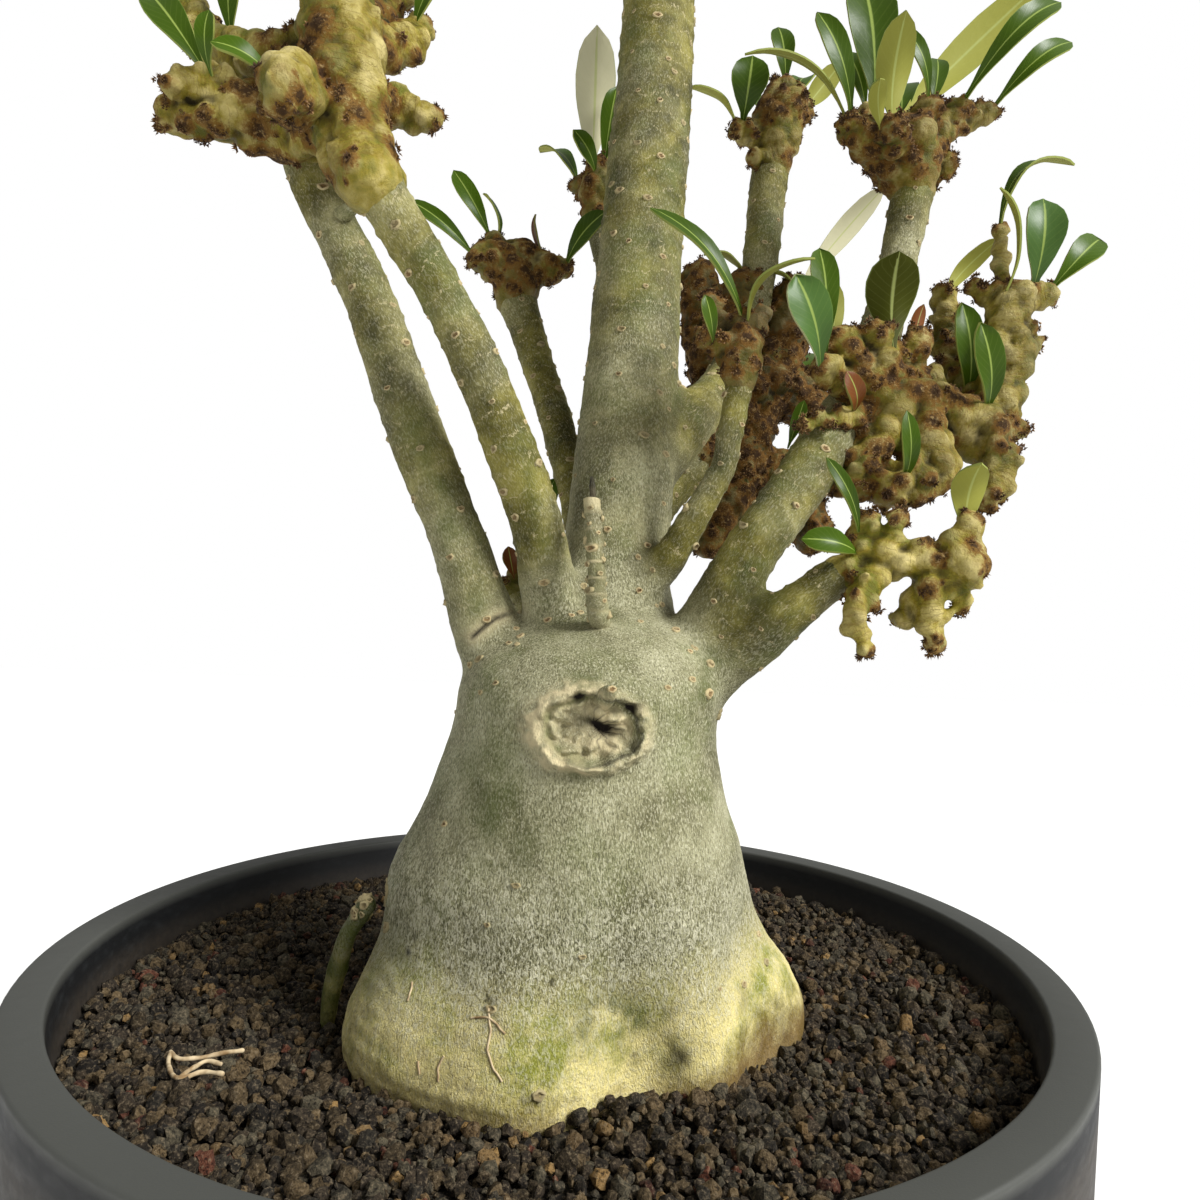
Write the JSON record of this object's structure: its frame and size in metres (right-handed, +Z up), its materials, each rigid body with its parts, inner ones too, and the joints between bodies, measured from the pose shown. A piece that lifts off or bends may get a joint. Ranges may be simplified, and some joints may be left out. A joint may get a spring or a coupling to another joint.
{
  "type": "potted desert rose plant",
  "caption": "Desert rose plant with a swollen grey-green base, upright bare branches and knobby leafy heads, in a round black nursery pot filled with granular volcanic soil.",
  "frame": {"origin": "centre of the pot's flat underside", "axes": "+Z up, -Y towards the side that the picture was taken from, +X to the right as seen from there"},
  "size_m": [0.314, 0.3, 0.6138],
  "materials": {
    "pot": "satin, moulded black plastic, lightly scuffed",
    "soil": "matte, dry dark volcanic grit",
    "bark": "matte, living grey-green bark",
    "dry_root": "matte, dry straw-coloured root",
    "head": "satin, olive-green fleshy knobs with glossy green leaves"
  },
  "bodies": {
    "root": {"pot": "pot", "soil": "soil", "caudex_and_stems": "bark", "dry_rootlets": "dry_root", "head_left": "head", "head_middle": "head", "head_low_back": "head", "head_behind_trunk": "head", "head_back_right": "head", "head_upper_right": "head", "head_small": "head", "head_shaded": "head", "head_right": "head", "head_hanging": "head", "head_crown": "head"}
  },
  "joints": []
}
